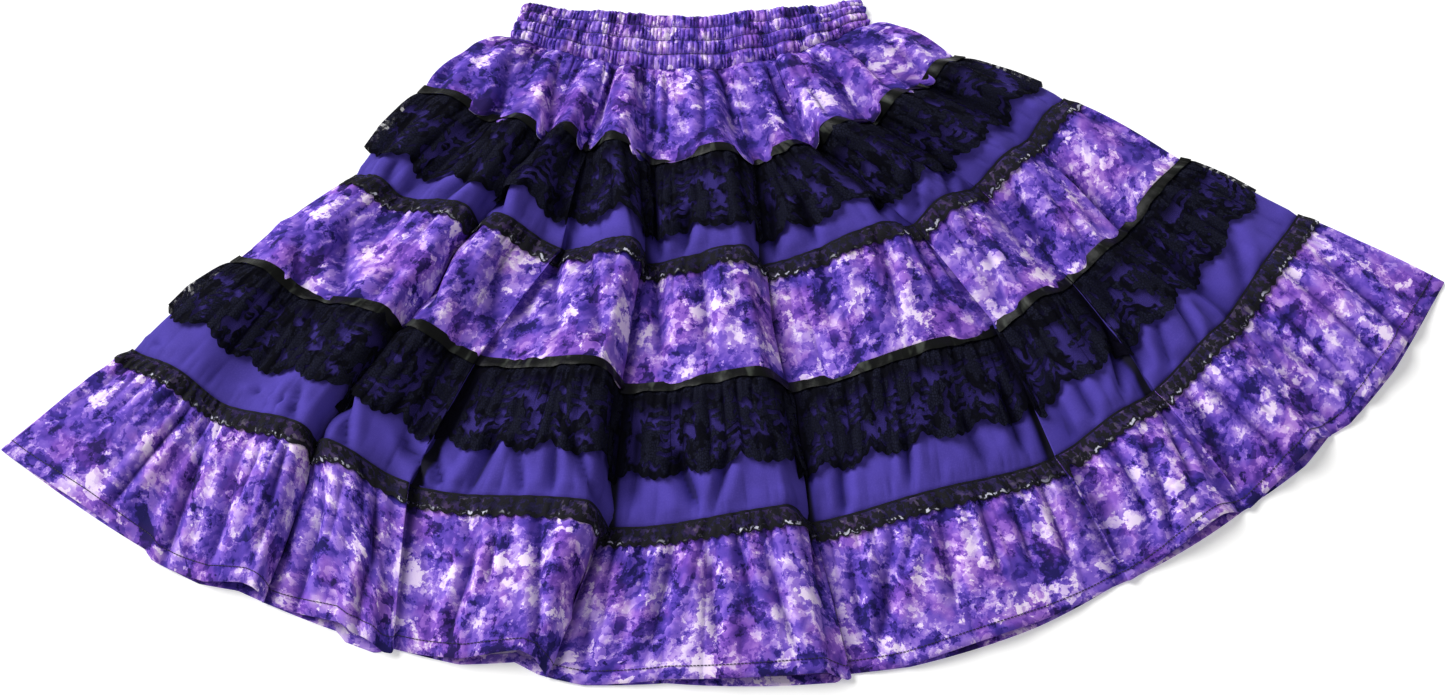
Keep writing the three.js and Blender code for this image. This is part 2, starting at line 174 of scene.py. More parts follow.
def front_seam(seam, column):
    """Points of the front on a seam: ridges are drawn up to the waist and lean to their steep side."""
    share, height, lean = fold_at(seam, column)
    place = along_seam(seam, share)
    up = along_seam(max(seam - 1, 0), share) - along_seam(min(seam + 1, HEM), share)
    up /= np.linalg.norm(up, axis=-1, keepdims=True)
    drawn = HEM_PULL if seam == HEM else FOLD_PULL[np.minimum(len(FOLDS) - 1, column.astype(int))]
    pull = drawn * height * (seam > BAND_SEAM)
    sway = FOLD_LEAN * height * lean * (seam > BAND_SEAM)
    x = place[:, 0] + up[:, 0] * pull + up[:, 1] * sway
    y = place[:, 1] + up[:, 1] * pull - up[:, 0] * sway
    level = HEM_FRONT_LEVEL if seam == HEM else FRONT_LEVEL
    return np.stack([x, y, level + height], -1)


def panel_length(seam):
    return float(np.linalg.norm(along_seam(seam, 0.5) - along_seam(seam + 1, 0.5)))


def front_columns(seam, count):
    """Columns spaced evenly over the cloth of one front panel, and the cloth's length up to each."""
    column = np.linspace(0, len(FOLDS), PROBE_STEPS + 1)
    middle = (front_seam(seam, column) + front_seam(seam + 1, column)) / 2
    length = np.concatenate([[0], np.cumsum(np.linalg.norm(np.diff(middle, axis=0), axis=1))])
    wanted = np.linspace(0, length[-1], count)
    return np.interp(wanted, length, column), wanted


def panel_points(seam, column, down, puff):
    """Grid of points of a front panel; down is each point's share of the way to the lower seam."""
    top, bottom = front_seam(seam, column), front_seam(seam + 1, column)
    grid = top + (bottom - top) * down[..., None]
    ends = np.clip(np.minimum(column, len(FOLDS) - column) / 0.5, 0, 1) ** 0.5
    grid[..., 2] += puff * 4 * (down * (1 - down)).clip(0) * ends
    return grid


def squares(grid):
    """Directions square to a grid of points, out of the cloth."""
    square = np.cross(np.gradient(grid, axis=1), -np.gradient(grid, axis=0))
    return square / np.linalg.norm(square, axis=-1, keepdims=True)


def noise(x, seed):
    """Smooth unevenness between 0 and 1 along a line."""
    cell = np.floor(x).astype(int)
    part = x - cell
    values = np.random.default_rng(seed).random(RANDOM_COUNT)
    before, after = values[cell % RANDOM_COUNT], values[(cell + 1) % RANDOM_COUNT]
    return before + (after - before) * part * part * (3 - 2 * part)


def gathers(along, below, spacing, height, reach, seed):
    """Rounded ridges with sharp creases between, each fading out at its own length below the seam."""
    drifted = along + 0.5 * below * (noise(along / (4 * spacing), seed + 2) - 0.5)
    place = drifted / spacing + 1.3 * noise(drifted / (2.7 * spacing), seed)
    number = np.floor(place).astype(int) % RANDOM_COUNT
    rng = np.random.default_rng(seed + 1)
    size = rng.uniform(0.35, 1.0, RANDOM_COUNT)[number]
    length = reach * rng.uniform(0.4, 1.25, RANDOM_COUNT)[number]
    return height * size * np.abs(np.sin(np.pi * place)) ** 0.7 * np.exp(-(below / length) ** 2)


def side_fold(front_edge, back_edge, outward, bulge, steps=5):
    """Columns that carry the cloth round a side fold from the front's edge to the back's."""
    turn = np.linspace(0, np.pi, steps + 2)[1:-1]
    middle, half = (front_edge + back_edge) / 2, (front_edge - back_edge) / 2
    return np.stack([middle + half * np.cos(t) + outward * bulge * np.sin(t) for t in turn], 1)


def outward_at(seam, share):
    side = along_seam(seam, share) - along_seam(seam + 1, share)
    side /= np.linalg.norm(side)
    sign = 1 if share == 0 else -1
    return np.array((-side[1] * sign, side[0] * sign, 0))


def tube(front, back, seam, bulge):
    """Front grid, right fold, back grid and left fold as one grid that closes on itself."""
    right = side_fold(front[:, -1], back[:, -1], outward_at(seam, 1), bulge)
    left = side_fold(back[:, 0], front[:, 0], outward_at(seam, 0), bulge)
    return np.concatenate([front, right, back[:, ::-1], left, front[:, :1]], axis=1)


# Sizes over which creases and valleys are measured for the painted shade in them.
HOLLOW_SIZES = (
    # Columns on each side that a point is compared with, and the depth that counts as full, in metres.
    (4, 0.0014),
    (13, 0.0045),
    (28, 0.0110),
)


def hollows(grid):
    """How deep each point of a closed grid lies in a crease or a valley, from 0 to 1, for the painted shade.
    """
    square = squares(grid)[:, :-1]
    ring = grid[:, :-1]
    deep = np.zeros(grid.shape[:2])
    for reach, depth in HOLLOW_SIZES:
        near = [np.roll(ring, shift, axis=1) for shift in range(-reach, reach + 1)]
        lower = ((sum(near) / len(near) - ring) * square).sum(-1) / depth
        deep[:, :-1] = np.maximum(deep[:, :-1], lower.clip(0, 1))
    deep[:, -1] = deep[:, 0]
    return deep


def cloth(name, grid, across, down, material, edge_rows=0, valleys=None, tone=0.0):
    """Mesh of a grid of points, with the cloth's own measure across and down it, in metres, as its UV."""
    rows, columns = grid.shape[:2]
    number = np.arange(rows * columns).reshape(rows, columns)
    faces = np.stack([number[1:, :-1], number[1:, 1:], number[:-1, 1:], number[:-1, :-1]], -1).reshape(-1, 4)
    mesh = bpy.data.meshes.new(name)
    mesh.from_pydata(grid.reshape(-1, 3).tolist(), [], faces.tolist())
    measure = np.stack([np.broadcast_to(across, (rows, columns)), np.broadcast_to(down, (rows, columns))], -1)
    layer = mesh.uv_layers.new(name="cloth")
    layer.data.foreach_set("uv", measure.reshape(-1, 2)[faces.ravel()].ravel().astype(np.float32))
    # Painted shade: depth in creases and valleys, raised to the shade given for the front, darkens the
    # colour.
    hollow_shade = hollows(grid)
    if valleys is not None:
        front = hollow_shade[:valleys.shape[0], :valleys.shape[1]]
        np.maximum(front, valleys, out=front)
    # Painted highlight: the rows just above the turned-under edge are marked to be painted paler.
    edge = np.zeros((rows, columns))
    edge[rows - 1 - edge_rows:rows - 1] = edge_rows > 0
    # A shift of the print over the whole piece; on tier 1 it darkens it as painted shade.
    paler = np.full((rows, columns), tone)
    for attribute_name, values in (("hollow_shade", hollow_shade), ("edge", edge), ("paler", paler)):
        data = mesh.attributes.new(attribute_name, "FLOAT", "POINT").data
        data.foreach_set("value", values.ravel().astype(np.float32))
    mesh.polygons.foreach_set("use_smooth", [True] * len(faces))
    mesh.materials.append(material)
    piece = bpy.data.objects.new(name, mesh)
    bpy.context.scene.collection.objects.link(piece)
    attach(piece, "root")
    return piece


def tube_measure(grid, fullness):
    """Length of cut cloth up to each column of a tube, from its middle row and its fullness there."""
    steps = np.linalg.norm(np.diff(grid[grid.shape[0] // 2], axis=0), axis=1)
    return fullness * np.concatenate([[0], np.cumsum(steps)])


def ring(name, front, back, seam, bulge, fullness, down, material, **marks):
    """A piece of cloth closed into a ring, in place of the plain walls of its front and back."""
    grid = tube(front, back, seam, bulge)
    piece = cloth(name, grid, tube_measure(grid, fullness), down, material, **marks)
    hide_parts(name + "_front", name + "_back")
    return piece


WEAVE_SCALE = 238.8535
WEAVE_DEPTH = 0.00012


def colour(code):
    """Linear colour of a six-digit code."""
    parts = [int(code[i:i + 2], 16) / 255 for i in (0, 2, 4)]
    return (*[c / 12.92 if c <= 0.04045 else ((c + 0.055) / 1.055) ** 2.4 for c in parts], 1)


def new_material(name, roughness, specular=0.5):
    """A material, its node tree and the Principled shader that the tree ends in."""
    material = bpy.data.materials.new(name)
    material.use_nodes = True
    tree = material.node_tree
    shader = tree.nodes["Principled BSDF"]
    shader.inputs["Roughness"].default_value = roughness
    shader.inputs["Specular IOR Level"].default_value = specular
    return material, tree, shader


def add(tree, kind, inputs=(), **settings):
    """A node with its settings and inputs; an input that is a socket is linked, any other is a value."""
    made = tree.nodes.new(kind if "Node" in kind else "ShaderNode" + kind)
    for key, value in settings.items():
        setattr(made, key, value)
    for key, value in dict(inputs).items():
        if isinstance(value, bpy.types.NodeSocket):
            tree.links.new(value, made.inputs[key])
        else:
            made.inputs[key].default_value = value
    return made


def maths(tree, operation, a, b=0.0, c=0.0):
    return add(tree, "Math", {0: a, 1: b, 2: c}, operation=operation).outputs[0]


def vector(tree, operation, a, b):
    """Vector maths on two vectors, or on a vector and the number that it is scaled by."""
    second = "Scale" if operation == "SCALE" else 1
    return add(tree, "VectorMath", {0: a, second: b}, operation=operation).outputs[0]


def cloth_place(tree):
    return add(tree, "UVMap", uv_map="cloth").outputs["UV"]


def attribute(tree, name):
    return add(tree, "Attribute", attribute_name=name).outputs["Fac"]


def cloudy(tree, place, scale, detail=2.0, roughness=0.5):
    made = add(tree, "TexNoise", {"Vector": place, "Scale": scale, "Detail": detail, "Roughness": roughness})
    return made.outputs["Fac"]


def step(tree, value, low, high):
    """0 below low, 1 above high and smooth between them."""
    limits = {"Value": value, 1: low, 2: high}
    return add(tree, "MapRange", limits, interpolation_type="SMOOTHSTEP").outputs[0]


def blend(tree, share, a, b, kind="MIX"):
    return add(tree, "Mix", {0: share, 6: a, 7: b}, data_type="RGBA", blend_type=kind).outputs[2]


def bumped(tree, shader, height, strength, distance):
    bump = add(tree, "Bump", {"Height": height, "Strength": strength, "Distance": distance})
    tree.links.new(bump.outputs[0], shader.inputs["Normal"])


def frayed_place(tree, wander, fray):
    """The cloth's own measure, pushed about in broad swirls and fine frayed steps."""
    place = cloth_place(tree)
    for scale, size in ((48, wander), (380, fray)):
        swirl = add(tree, "TexNoise", {"Vector": place, "Scale": scale, "Detail": 3.0}).outputs["Color"]
        centred = vector(tree, "SUBTRACT", swirl, (0.5, 0.5, 0.5))
        place = vector(tree, "ADD", place, vector(tree, "SCALE", centred, size))
    return place


def patches(tree, place, scale, offset, detail, low, high):
    """Ragged patches: 1 in them and 0 between them. The offset gives each layer its own places."""
    moved = vector(tree, "ADD", place, (offset, offset * 0.7, 0))
    return step(tree, cloudy(tree, moved, scale, detail, 0.6), low, high)


def weave_bump(tree, shader):
    """Raised threads of plain cotton, about 8 to the centimetre each way, with slubs."""
    place = cloth_place(tree)
    warp, weft = [
        add(tree, "TexWave", {"Vector": place, "Scale": WEAVE_SCALE, "Distortion": 0.4}, bands_direction=axis)
        for axis in "XY"
    ]
    threads = maths(tree, "MULTIPLY", warp.outputs["Fac"], weft.outputs["Fac"])
    slub = cloudy(tree, place, 900.0)
    bumped(tree, shader, maths(tree, "ADD", threads, slub), 0.5, WEAVE_DEPTH)


def shaded(tree, shader, tone, deepest):
    """The cloth's colour, with painted shade in its creases and valleys where little light comes back out."""
    hollow_shade = attribute(tree, "hollow_shade")
    soft = maths(tree, "MINIMUM", maths(tree, "MULTIPLY", hollow_shade, deepest), 0.97)
    dark = blend(tree, soft, tone, (0.16, 0.11, 0.34, 1), "MULTIPLY")
    # Painted shade: near black in the deepest creases and valleys.
    deep = maths(tree, "MULTIPLY", step(tree, hollow_shade, 0.85, 1.35), 0.95)
    tree.links.new(blend(tree, deep, dark, (0.0020, 0.0015, 0.0060, 1)), shader.inputs["Base Color"])


def ramp(tree, value, places, codes):
    """Colours blended along a value, each at its own place."""
    made = add(tree, "ValToRGB", {0: value})
    elements = made.color_ramp.elements
    while len(elements) < len(places):
        elements.new(0.5)
    for element, place, code in zip(elements, places, codes):
        element.position = place
        element.color = colour(code)
    return made.outputs[0]


# The print is a watercolour of violet: cloudy washes, with ragged lighter and darker patches laid on.
printed_cotton, tree, shader = new_material("printed cotton", roughness=0.9, specular=0.2)
place = frayed_place(tree, 0.006, 0.0013)
zones = cloudy(tree, place, 20.0, 3.0, 0.55)
grain = cloudy(tree, place, 80.0, 5.0, 0.6)
puffs = add(tree, "TexVoronoi", {"Vector": place, "Scale": 50.0, "Detail": 2.0, "Roughness": 0.5},
            voronoi_dimensions="2D", normalize=True).outputs["Distance"]
depth = maths(tree, "MULTIPLY_ADD", zones, 0.95, -0.065)
depth = maths(tree, "MULTIPLY_ADD", grain, 0.42, maths(tree, "SUBTRACT", depth, 0.21))
depth = maths(tree, "MULTIPLY_ADD", puffs, -0.40, maths(tree, "ADD", depth, 0.15))
# A shift for each piece; tier 1's darkening is painted shade.
depth = maths(tree, "ADD", depth, attribute(tree, "paler"))
terraces = maths(tree, "SINE", maths(tree, "MULTIPLY", depth, 57.0))
depth = maths(tree, "MULTIPLY_ADD", terraces, 0.013, depth)
for scale, offset, low, high, strength in (
    # Each layer's scale and place, where its patches begin and are full, and how much paler they are.
    (24, 0.0, 0.535, 0.545, 0.10),
    (42, 3.1, 0.540, 0.548, 0.13),
    (26, 7.7, 0.555, 0.570, -0.25),
    (56, 5.3, 0.550, 0.558, 0.15),
    (31, 9.4, 0.590, 0.596, 0.30),
    (68, 1.9, 0.560, 0.568, -0.16),
):
    patch = patches(tree, place, scale, offset, 6.0, low, high)
    depth = maths(tree, "MULTIPLY_ADD", patch, strength, depth)
wash_depths = (0.14, 0.30, 0.44, 0.58, 0.71, 0.88)
cool = ramp(tree, depth, wash_depths, ("1c1558", "3d2b92", "6347b7", "8866ce", "b696e4", "ecdaf8"))
warm = ramp(tree, depth, wash_depths, ("281554", "502c8e", "7a48b4", "9c68ca", "c89ce2", "f0dcf6"))
warm_patches = patches(tree, place, 17, 6.6, 4.0, 0.47, 0.60)
wash = blend(tree, maths(tree, "MULTIPLY", warm_patches, 0.75), cool, warm)
# Painted highlight: a pale lilac laid on the marked rows along a tier's rolled lower edge.
wash = blend(tree, maths(tree, "MULTIPLY", attribute(tree, "edge"), 0.42), wash, colour("e9def6"))
shaded(tree, shader, wash, 0.85)
weave_bump(tree, shader)

BAND_ROWS = 4
BAND_COLUMNS = 760
BAND_BACK_COLUMNS = 240
BAND_WIDTH = 0.055
BAND_DOWN = np.linspace(0, 0.995, 49)
BAND_CHANNEL = BAND_DOWN * BAND_ROWS
BAND_FULLNESS = 1.8
BAND_PUFF = 0.004
BAND_STAND = 0.0010
BAND_BULGE = 0.002
CHANNEL_SWELL = 0.0008
CHANNEL_WIDTH = 0.0135
GROOVE_WIDTH = 0.0016
GROOVE_SHADE = 0.75
BACK_LEVEL = 0.0004

# Spacing and height of puckers in metres.
FINE_PUCKERS = (0.0044, 0.0031)
BROAD_PUCKERS = (0.0130, 0.0014)
BACK_PUCKERS = (0.0042, 0.0008)


def band_front(seed):
    """Four swollen channels of upright puckers, with an upper edge that wanders a little."""
    column, along = front_columns(WAIST, BAND_COLUMNS)
    grid = panel_points(WAIST, column, BAND_DOWN[:, None], BAND_PUFF)
    swell = np.abs(np.sin(np.pi * BAND_CHANNEL))[:, None] ** 0.6
    seeds = seed + 10 * np.minimum(BAND_CHANNEL.astype(int), BAND_ROWS - 1)
    fine = np.stack([gathers(along, 0 * along, *FINE_PUCKERS, 1, row_seed) for row_seed in seeds])
    broad = gathers(along, 0 * along, *BROAD_PUCKERS, 1, seed)
    grid += squares(grid) * (BAND_STAND + swell * (CHANNEL_SWELL + fine + broad))[..., None]
    wander = 0.006 * (noise(along / 0.045, seed + 90) - 0.4) + 0.0016 * noise(along / 0.005, seed + 91)
    grid[..., 1] += wander * (1 - BAND_DOWN)[:, None] ** 2
    return grid


def flat_back(seam, shares, down, level):
    """Grid of points of a back panel lying flat, its height given for each row or for all."""
    top, bottom = along_seam(seam, shares), along_seam(seam + 1, shares)
    flat = top + (bottom - top) * down[..., None]
    height = np.broadcast_to(np.reshape(level, (-1, 1, 1)), (*flat.shape[:2], 1))
    return np.concatenate([flat, height], -1)


band_back = flat_back(WAIST, np.linspace(0, 1, BAND_BACK_COLUMNS), BAND_DOWN[:, None], BACK_LEVEL)
back_length = np.linspace(0, SEAM_LINES[WAIST][1][-1], BAND_BACK_COLUMNS)
back_puckers = gathers(back_length, 0 * back_length, *BACK_PUCKERS, 1, 77)
band_back[..., 2] += np.abs(np.sin(np.pi * BAND_CHANNEL))[:, None] * back_puckers
band = band_front(11)
# Painted shade along the three stitch lines, fading out within a groove's width of each.
near_line = np.abs(BAND_CHANNEL - np.round(BAND_CHANNEL).clip(1, BAND_ROWS - 1)) * CHANNEL_WIDTH
grooves = GROOVE_SHADE * np.exp(-(near_line / GROOVE_WIDTH) ** 2)[:, None] * np.ones(BAND_COLUMNS)
band_measure = np.linspace(0, BAND_WIDTH, len(BAND_DOWN))[:, None]
waistband = ring("waistband", band, band_back, WAIST, BAND_BULGE, BAND_FULLNESS, band_measure,
                 printed_cotton, valleys=grooves)

# Stitching on the waistband
# Dark thread in small even stitches along the three lines between the elastic channels. They are sunk
# a little in the grooves that the thread pulls into the band.

STITCH_LENGTH = 0.0022
STITCH_GAP = 0.0009
STITCH_THICKNESS = 0.0007

thread, tree, shader = new_material("dark thread", roughness=0.7)
twist = cloudy(tree, add(tree, "TexCoord").outputs["Object"], 900.0)
tree.links.new(blend(tree, twist, colour("0b0914"), colour("241c46")), shader.inputs["Base Color"])


def stitch_nodes():
    """Geometry nodes that lay stitches end to end along a line."""
    group = bpy.data.node_groups.new("stitch row", "GeometryNodeTree")
    group.interface.new_socket("Geometry", in_out="INPUT", socket_type="NodeSocketGeometry")
    sizes = (("Stitch Length", STITCH_LENGTH), ("Gap", STITCH_GAP), ("Thickness", STITCH_THICKNESS))
    for name, value in sizes:
        socket = group.interface.new_socket(name, in_out="INPUT", socket_type="NodeSocketFloat")
        socket.default_value = value
    group.interface.new_socket("Material", in_out="INPUT", socket_type="NodeSocketMaterial")
    group.interface.new_socket("Geometry", in_out="OUTPUT", socket_type="NodeSocketGeometry")

    given = add(group, "NodeGroupInput").outputs
    pitch = maths(group, "ADD", given["Stitch Length"], given["Gap"])
    line = add(group, "GeometryNodeMeshToCurve", {"Mesh": given["Geometry"]}).outputs[0]
    steps = add(group, "GeometryNodeCurveToPoints", {"Curve": line, "Length": pitch}, mode="LENGTH")
    half = maths(group, "MULTIPLY", given["Thickness"], 0.5)
    bar = add(group, "GeometryNodeMeshCylinder",
              {"Vertices": 6, "Radius": half, "Depth": given["Stitch Length"]}).outputs[0]
    turned = add(group, "FunctionNodeAlignRotationToVector", {"Vector": steps.outputs["Tangent"]}, axis="Z")
    laid = add(group, "GeometryNodeInstanceOnPoints",
               {"Points": steps.outputs[0], "Instance": bar, "Rotation": turned.outputs[0]})
    real = add(group, "GeometryNodeRealizeInstances", {"Geometry": laid.outputs[0]}).outputs[0]
    done = add(group, "GeometryNodeSetMaterial", {"Geometry": real, "Material": given["Material"]}).outputs[0]
    group.links.new(done, add(group, "NodeGroupOutput").inputs[0])
    return group


STITCHES = stitch_nodes()


def stitch_rows(name, lines, thickness):
    """Stitches along lines of points, made into one mesh that rides with the skirt."""
    points = np.concatenate(lines)
    starts = np.cumsum([0] + [len(line) for line in lines])
    edges = [(i, i + 1) for start, end in zip(starts, starts[1:]) for i in range(start, end - 1)]
    mesh = bpy.data.meshes.new(name + " line")
    mesh.from_pydata(points.tolist(), edges, [])
    guide = bpy.data.objects.new(name + " line", mesh)
    bpy.context.scene.collection.objects.link(guide)
    modifier = guide.modifiers.new("stitches", "NODES")
    modifier.node_group = STITCHES
    given = {"Material": thread, "Thickness": thickness}
    for item in STITCHES.interface.items_tree:
        if item.in_out == "INPUT" and item.name in given:
            modifier[item.identifier] = given[item.name]
    depsgraph = bpy.context.evaluated_depsgraph_get()
    made = bpy.data.meshes.new_from_object(guide.evaluated_get(depsgraph))
    bpy.data.objects.remove(guide)
    piece = bpy.data.objects.new(name, made)
    bpy.context.scene.collection.objects.link(piece)
    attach(piece, "root")
    return piece


band_lines = []
for number in range(1, BAND_ROWS):
    row = round(number * (len(BAND_DOWN) - 1) / BAND_ROWS)
    line = band[row].copy()
    line[:, 2] += STITCH_THICKNESS * 0.4
    band_lines.append(line)
band_stitching = stitch_rows("waistband_stitching", band_lines, STITCH_THICKNESS)

# Tiers 1, 3 and 5
# Strips of the print, each gathered to the piece above and fuller than it, down to the hem. Fine
# gathers fan out below each seam, and a few long soft creases run on down from them. The lower edge
# of a tier is turned under where the next one is sewn on, and the hem is a narrow double turn.

TIER_PUFF = 0.0035
SIDE_BULGE = 0.0014

FULL_GATHERS = (
    # spacing, height and reach below the seam in metres
    (0.0070, 0.0022, 0.020),
    (0.0150, 0.0036, 0.052),
    (0.0380, 0.0052, 0.130),
)
SOFT_GATHERS = (
    (0.0070, 0.0016, 0.016),
    (0.0160, 0.0026, 0.040),
    (0.0430, 0.0044, 0.120),
)
TIER_GATHERS = {
    # For each tier: its gathers, seed, how much its creases are deepened and how far its lower edge lifts.
    BAND_SEAM: (FULL_GATHERS, 100, 1.5, 0.0022),
    SEAM_1: (SOFT_GATHERS, 200, 1.9, 0.0),
    SEAM_2: (FULL_GATHERS, 300, 1.5, 0.0022),
    SEAM_3: (SOFT_GATHERS, 400, 1.9, 0.0),
    SEAM_4: (FULL_GATHERS, 500, 1.6, 0.0),
}
HELD_AT_SEAM = 0.30
HELD_LENGTH = 0.013
EDGE_LENGTH = 0.012
EDGE_FLATTENED = 0.6
CLEAR_OF_TABLE = 0.0002

PINCHES = (
    # Puckers that the next tier pulls into a plain one: spacing, height and reach above its lower seam.
    (0.0085, 0.0015, 0.015),
    (0.0210, 0.0030, 0.036),
)
PINCH_CLEAR = 0.003
PINCH_START = 0.008

CREASE_LIMITS = (-0.0040, 0.0034)
CREASE_UNITS = (1000, 100, 1000, 100)
CREASES = {
    # For each tier: where each crease starts and where it ends, as thousandths of the way round the
    # front and hundredths of the way down, and then its half width and its depth in millimetres.
    BAND_SEAM: (
        (0, 43, 21, 98, 6, 3), (68, 28, 138, 97, 6, 3), (166, 18, 223, 90, 6, 3), (294, 12, 315, 77, 5, 3),
        (411, 10, 420, 78, 4, 3), (437, 12, 437, 85, 4, 3), (523, 0, 506, 85, 5, 3),
        (578, 7, 563, 70, 6, 3), (688, 10, 677, 68, 5, 4), (749, 17, 744, 90, 5, 4),
        (822, 18, 804, 75, 5, 4), (890, 25, 861, 100, 5, 3), (952, 37, 927, 93, 6, 3),
    ),
    SEAM_1: (
        (41, 77, 41, 100, 6, 3), (143, 73, 115, 100, 7, 4), (196, 43, 203, 98, 6, 6),
        (273, 50, 273, 78, 6, 3), (408, 38, 409, 90, 6, 4), (460, 55, 441, 88, 6, 4),
        (584, 45, 558, 87, 8, 4), (620, 52, 607, 90, 6, 3), (718, 45, 700, 85, 6, 4),
        (775, 63, 748, 92, 5, 4), (829, 53, 791, 100, 5, 3),
    ),
    SEAM_2: (
        (10, 55, 66, 100, 9, 4), (56, 45, 111, 100, 8, 4), (132, 68, 135, 98, 7, 4),
        (160, 22, 191, 82, 8, 5), (228, 22, 255, 85, 8, 3), (280, 0, 312, 75, 6, 3.5),
        (319, 7, 355, 82, 7, 5), (400, 3, 417, 68, 7, 3.5), (454, 0, 461, 72, 8, 4),
        (605, 0, 593, 58, 9, 3), (679, 8, 663, 62, 7, 4), (717, 0, 714, 60, 6, 4), (785, 12, 768, 70, 6, 4),
        (849, 25, 835, 88, 6, 5), (876, 42, 859, 100, 5, 4), (917, 40, 903, 100, 6, 4),
    ),
    SEAM_3: (
        (10, 87, 36, 83, 8, 3), (84, 80, 128, 88, 5, 3), (126, 73, 137, 100, 6, 5),
        (168, 60, 188, 100, 6, 4), (226, 75, 247, 100, 7, 7), (240, 65, 259, 93, 6, 5),
        (290, 52, 281, 95, 7, 4), (305, 58, 317, 93, 5, 3), (335, 60, 339, 92, 5, 3.5),
        (347, 58, 368, 92, 6, 6), (405, 32, 402, 80, 8, 3), (435, 52, 448, 88, 9, 6),
        (473, 58, 460, 92, 6, 4), (540, 52, 525, 92, 6, 3.5), (564, 67, 558, 95, 6, 5),
        (623, 55, 611, 87, 5, 3), (669, 57, 670, 87, 7, 3), (714, 43, 702, 83, 7, 4),
        (762, 67, 758, 92, 6, 4), (820, 45, 792, 85, 7, 6), (828, 58, 820, 85, 6, 5),
        (847, 67, 833, 92, 5, 4), (872, 67, 856, 100, 6, 4), (944, 72, 920, 100, 10, 3),
    ),
    SEAM_4: (
        (68, 17, 76, 87, 5, 3.5), (94, 28, 120, 93, 6, 4), (126, 37, 145, 88, 6, 4),
        (130, 22, 139, 55, 4, 2.5), (149, 23, 168, 75, 5, 3), (190, 33, 206, 92, 6, 5),
        (197, 22, 206, 57, 4, 3), (235, 60, 245, 100, 6, 5), (221, 18, 236, 57, 4, 2.5),
        (298, 33, 299, 83, 5, 4), (309, 23, 313, 52, 4, 2.5), (336, 13, 353, 100, 5, 4),
        (373, 10, 365, 52, 9, 7), (383, 20, 381, 82, 7, 6), (393, 10, 390, 63, 6, 4),
        (431, 18, 420, 75, 7, 6), (415, 10, 412, 40, 4, 3), (456, 25, 458, 75, 7, 3.5),
        (491, 25, 502, 78, 5, 4), (475, 18, 480, 53, 4, 3), (552, 27, 547, 78, 6, 4),
        (582, 23, 557, 80, 8, 5), (601, 17, 580, 47, 5, 3), (618, 18, 608, 68, 7, 3.5),
        (649, 10, 642, 58, 5, 3.5), (672, 8, 664, 57, 5, 3), (698, 5, 687, 63, 5, 3),
        (731, 10, 718, 85, 6, 5), (753, 17, 743, 67, 5, 3.5), (773, 22, 748, 90, 6, 5),
        (796, 22, 780, 65, 5, 4), (824, 15, 806, 85, 6, 5), (838, 18, 834, 97, 6, 5),
        (849, 22, 848, 62, 4, 3), (898, 10, 901, 95, 6, 5), (920, 23, 906, 82, 5, 3.5),
        (944, 22, 929, 90, 6, 4), (971, 30, 953, 97, 7, 3.5),
    ),
}


def line_length(seam, down):
    """Length of the line round the front of a panel, by how far down it the line lies."""
    return SEAM_LINES[seam][1][-1] * (1 - down) + SEAM_LINES[seam + 1][1][-1] * down


def crease_height(seam, share, down):
    """Height of the long creases: a soft trough with a raised lip on each side, fading at both ends."""
    length = line_length(seam, down)
    total = np.zeros_like(share)
    for *places, width, depth in CREASES[seam]:
        from_share, from_down, to_share, to_down = np.array(places) / CREASE_UNITS
        along = (down - from_down) / (to_down - from_down)
        off = (share - from_share - (to_share - from_share) * along) * length * 1000 / width
        ends = np.clip((along + 0.15) / 0.3, 0, 1) * np.clip((1.2 - along) / 0.3, 0, 1)
        lips = np.exp(-((off - 1.9) / 1.2) ** 2) + np.exp(-((off + 1.9) / 1.2) ** 2)
        trough = np.exp(-np.abs(off) ** 1.4 * 1.3)
        total += ends * min(depth, 0.6 * width) / 1000 * (0.5 * lips - 0.85 * trough)
    return total.clip(*CREASE_LIMITS)


# Painted shade in the long creases and under the laps of the main valleys, and how wide each lap is.
CREASE_DARK = 0.0030
PLAIN_CREASE_SHADE = 1.1
PRINT_CREASE_SHADE = 0.75
LAP_WIDTH = 0.0052
VALLEY_FULL = 6.5
VALLEY_OFF = 0.0035
VALLEY_HARD = 0.0030
VALLEY_SOFT = 0.0120
VALLEY_DARK = {BAND_SEAM: 0.8, SEAM_1: 1.4, SEAM_2: 0.95, SEAM_3: 1.7, SEAM_4: 1.1}


def main_valleys(seam, share, down):
    """For each main valley: how far past it each point lies, how far it laps over, and which side laps."""
    length = line_length(seam, down)
    row = max(0, seam - 1)
    for start, _, _, laps, side in FOLDS[1:]:
        valley = start[row] + (start[seam] - start[row]) * down
        yield (share - valley) * length * side, laps[row] + (laps[seam] - laps[row]) * down, side


def lapped(grid, plain, seam, share, down):
    """The grid with one side of each main valley of its plain folds raised and drawn over the other."""
    across = np.gradient(plain, axis=1)
    across /= np.linalg.norm(across, axis=-1, keepdims=True)
    square = squares(plain)
    moved = grid.copy()
    for away, laps, side in main_valleys(seam, share, down):
        deep = (laps / 1000)[..., None]
        off = (away / LAP_WIDTH)[..., None]
        lip = np.exp(-((off + 1.5) / 1.1) ** 2)
        tuck = np.exp(-((off - 1.3) / 1.0) ** 2)
        moved += deep * (square * (0.9 * lip - 0.25 * tuck) + across * side * 1.25 * lip)
    return moved


